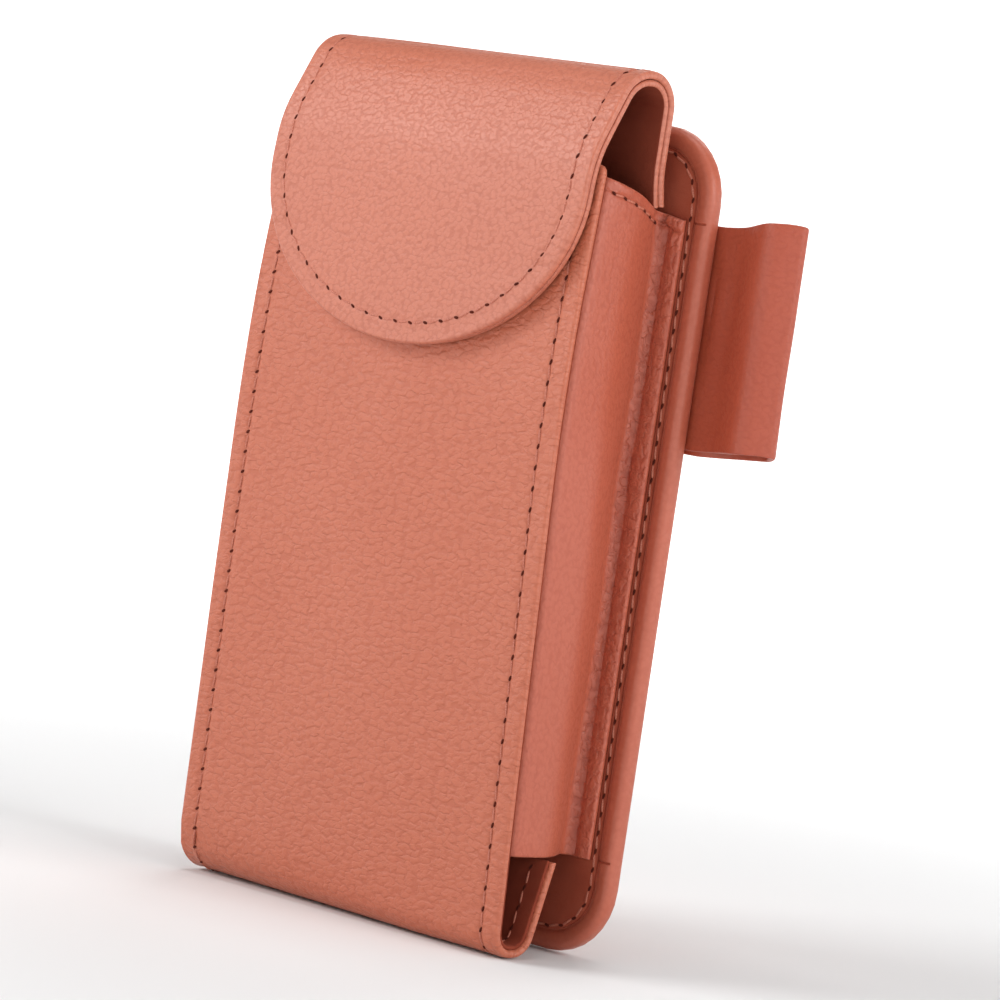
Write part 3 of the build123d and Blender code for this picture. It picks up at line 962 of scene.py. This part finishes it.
def makeSideLoop():
    stations = [0.0] + loopLine.stations(1.6, 12.0)
    low = [(loopShift(v)[0], v) for v in stations]
    high = [(loopShift(v)[1], v) for v in stations]
    outline = high + list(reversed(low))
    cuts = rows(stations[1:-1]) + columns([102.0 + 4 * i for i in range(11)])
    strip = cutLeather("sideLoop", outline, loop["leather"], 0.4, (), cuts)
    fold(strip, loopPlace, loop["leather"])
    settle(strip, "case", loopShadedSkin, ["side_loop"])
    row = loopLine.length - 2.6
    low, high = loopShift(row)
    line = [(low + 2.5, row), (high - 2.5, row)]
    sew("loopSeam", loopPlace, line, "case", ["side_loop_stitching"], pitch=3.6)
    print("side loop folded and sewn")


makeSideLoop()


# Belt loop on the back.

belt = {
    "half": 22.0, "foot": 60.0, "tab": 11.0, "open": 58.0, "rise": 6.5, "ramp": 2.4,
    "leather": 1.2, "lining": 0.8, "bend": 3.4, "edge": 0.45, "rows": (3.0, 7.6),
}
beltFace = panel["face"] + belt["leather"] + belt["lining"] + 0.08
beltTop = belt["foot"] + 2 * belt["tab"] + belt["open"]
beltLine = FoldLine(
    [
        (beltFace, belt["foot"]), (beltFace, belt["foot"] + belt["tab"]),
        (beltFace + belt["rise"], belt["foot"] + belt["tab"] + belt["ramp"]),
        (beltFace + belt["rise"], beltTop - belt["tab"] - belt["ramp"]),
        (beltFace, beltTop - belt["tab"]), (beltFace, beltTop),
    ],
    [belt["bend"] - 1.2, belt["bend"], belt["bend"], belt["bend"] - 1.2],
)


def beltPlace(x, v, sink):
    place = beltLine.at(v, sink + ripple(x, v, 0.15, 20.0))
    return Vector((x, place.x, place.y)) * mm


def makeBeltLoop():
    half, length, corner = belt["half"], beltLine.length, 2.0
    turns = [math.radians(15 * i) for i in range(7)]
    right = [(half - corner + corner * math.sin(a), corner - corner * math.cos(a)) for a in turns]
    right += [(x, length - v) for x, v in reversed(right)]
    outline = right + [(-x, v) for x, v in reversed(right)]
    cuts = rows(beltLine.stations(4.0, 9.0)) + across(half, 7.0)
    outer = cutLeather("beltLoop", outline, belt["leather"], belt["edge"], (), cuts)
    fold(outer, beltPlace, belt["leather"])
    settle(outer, "case", strapSkin, ["belt_loop"])
    inner = cutLeather("beltLoopLining", outline, belt["lining"], 0.3, (), cuts)
    fold(inner, lambda x, v, sink: beltPlace(x, v, sink + belt["leather"] + 0.03), belt["lining"])
    settle(inner, "case", lining, ["belt_loop_lining"])
    seams = list(belt["rows"]) + [length - v for v in belt["rows"]]
    seams = [
        sew(f"beltSeam{i + 1}", beltPlace, [(-half + 3.0, v), (half - 3.0, v)], "case", pitch=3.6)
        for i, v in enumerate(seams)
    ]
    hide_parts("belt_loop_stitching")
    print("belt loop folded and sewn")


makeBeltLoop()

for name in ("keeper_disc", "flap_magnet"):
    dress(frame["nodes"][name], plainSteel)

# Floor, light and camera.

studio = {"sky": 0.08, "reach": 1.6, "sweep": 0.9, "steps": 12, "glow": 0.85}
lights = {
    "keyLight": {"place": (-0.85, -1.05, 0.95), "size": 0.7, "watts": 13.8},
    "sideLight": {"place": (1.45, 0.1, 0.75), "size": 0.8, "watts": 12.0},
    "topLight": {"place": (0.0, -0.05, 1.5), "size": 0.8, "watts": 8.0},
    "backLight": {"place": (-0.6, 1.3, 1.0), "size": 0.9, "watts": 6.0},
}
lightsAim = (0, -0.012, 0.085)
view = {"place": (0.6570, -0.7181, 0.1418), "aim": (0.01547, -0.0104, 0.08402), "roll": 8.44, "lens": 178.4}


def makeFloor():
    # A round pale sweep: a disc whose rim curves up all round, so no horizon shows.
    bpy.ops.object.select_all(action="DESELECT")
    bpy.ops.mesh.primitive_circle_add(vertices=96, radius=studio["reach"], fill_type="NGON")
    floor = bpy.context.object
    floor.name = floor.data.name = "studioFloor"
    edit(floor, "EDGE")
    for e in floor.data.edges:
        e.select = True
    workOn(floor)
    turns = [math.radians(90 / studio["steps"] * k) for k in range(studio["steps"] + 1)]
    heights = [studio["sweep"] * (1 - math.cos(turn)) for turn in turns]
    reaches = [studio["reach"] + studio["sweep"] * math.sin(turn) for turn in turns]
    for lower, upper, nearer, further in zip(heights, heights[1:], reaches, reaches[1:]):
        bpy.ops.mesh.extrude_edges_move(TRANSFORM_OT_translate={"value": (0, 0, upper - lower)})
        bpy.ops.transform.resize(value=(further / nearer, further / nearer, 1), center_override=(0, 0, 0))
    done()
    for vertex in floor.data.vertices:
        vertex.co.z -= 0.0003
    finishMesh(floor, 60)
    pale = Finish("paleFloor")   # plain and matt near the object, lit from behind towards the rim
    ground = pale.mapped((1, 1, 1))
    east, north = (pale.add("SeparateXYZ", out=axis, Vector=ground) for axis in (0, 1))
    distance = (east * east + north * north) ** 0.5
    glow = pale.mix(pale.step(distance, 0.1, 0.8), (0, 0, 0, 1), (1, 1, 1, 1))
    dress(floor, pale.close(linear(232, 232, 232), 0.9, Specular_IOR_Level=0.1, Emission_Color=glow,
                            Emission_Strength=studio["glow"]))


def makeLight(name, light):
    bpy.ops.object.light_add(type="AREA", location=light["place"])
    lamp = bpy.context.object
    lamp.name = lamp.data.name = name
    lamp.data.shape, lamp.data.size, lamp.data.energy = "SQUARE", light["size"], light["watts"]
    lamp.rotation_mode = "QUATERNION"
    lamp.rotation_quaternion = (Vector(lightsAim) - Vector(light["place"])).to_track_quat("-Z", "Y")


def makeCamera():
    place, aim = Vector(view["place"]), Vector(view["aim"])
    data = bpy.data.cameras.new("photoCamera")
    data.lens, data.sensor_width, data.clip_start = view["lens"], 36.0, 0.01
    camera = bpy.data.objects.new("photoCamera", data)
    bpy.context.collection.objects.link(camera)
    camera.rotation_mode = "QUATERNION"
    camera.location = place
    facing = (aim - place).to_track_quat("-Z", "Y").to_matrix()
    rolled = facing @ Matrix.Rotation(math.radians(view["roll"]), 3, "Z")
    camera.rotation_quaternion = rolled.to_quaternion()
    bpy.context.scene.camera = camera


makeFloor()
for name, light in lights.items():
    makeLight(name, light)
world = bpy.data.worlds.new("studioWorld")
bpy.context.scene.world = world
world.use_nodes = True
world.node_tree.nodes["Background"].inputs["Color"].default_value = (1, 1, 1, 1)
world.node_tree.nodes["Background"].inputs["Strength"].default_value = studio["sky"]
makeCamera()
print("studio ready")

bpy.context.view_layer.update()
